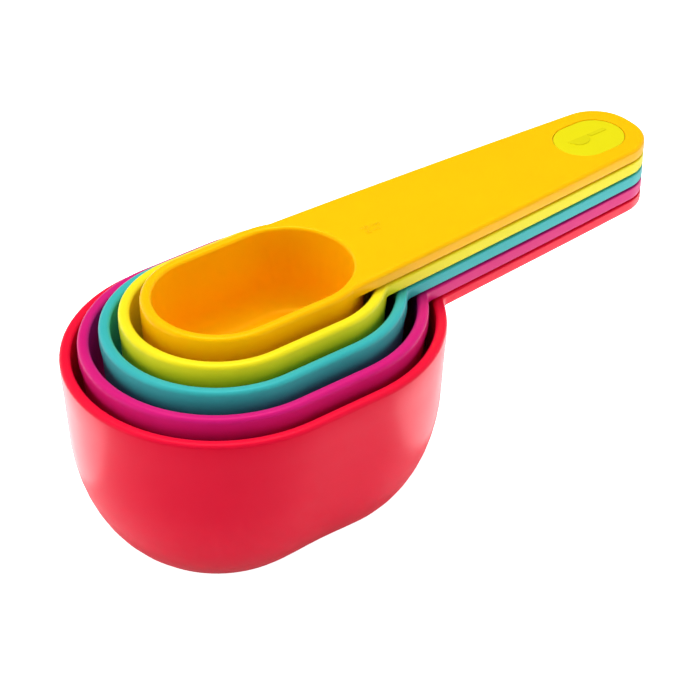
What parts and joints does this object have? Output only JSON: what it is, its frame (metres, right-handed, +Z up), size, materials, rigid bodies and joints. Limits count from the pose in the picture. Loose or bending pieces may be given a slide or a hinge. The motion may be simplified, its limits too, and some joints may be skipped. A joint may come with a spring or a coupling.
{
  "type": "measuring cup set",
  "caption": "Nest of plastic measuring cups, each a stadium-shaped bowl with a long flat handle, stacked in order of size so that each lifts out of the next.",
  "frame": {"origin": "centre of the largest cup's flat base", "axes": "+X along the handles towards their tips, +Z up out of the bowls"},
  "size_m": [0.1676, 0.0768, 0.0702],
  "materials": {
    "one_cup": "satin moulded plastic, red",
    "one_badge": "matte inlay, red",
    "half_cup": "satin moulded plastic, magenta",
    "half_badge": "matte inlay, magenta",
    "third_cup": "satin moulded plastic, teal",
    "third_badge": "matte inlay, teal",
    "quarter_cup": "satin moulded plastic, lime",
    "quarter_badge": "matte inlay, lime",
    "eighth_cup": "satin moulded plastic, yellow",
    "eighth_badge": "matte inlay, yellow"
  },
  "bodies": {
    "one_cup": {"one_cup": "one_cup", "one_badge": "one_badge"},
    "half_cup": {"half_cup": "half_cup", "half_badge": "half_badge"},
    "third_cup": {"third_cup": "third_cup", "third_badge": "third_badge"},
    "quarter_cup": {"quarter_cup": "quarter_cup", "quarter_badge": "quarter_badge"},
    "eighth_cup": {"eighth_cup": "eighth_cup", "eighth_badge": "eighth_badge"}
  },
  "joints": [
    {"name": "half_cup_lift", "type": "slide", "parent": "one_cup", "child": "half_cup", "axis": [0, 0, 1], "range_m": [0, 0.04]},
    {"name": "third_cup_lift", "type": "slide", "parent": "half_cup", "child": "third_cup", "axis": [0, 0, 1], "range_m": [0, 0.036]},
    {"name": "quarter_cup_lift", "type": "slide", "parent": "third_cup", "child": "quarter_cup", "axis": [0, 0, 1], "range_m": [0, 0.036]},
    {"name": "eighth_cup_lift", "type": "slide", "parent": "quarter_cup", "child": "eighth_cup", "axis": [0, 0, 1], "range_m": [0, 0.028]}
  ]
}
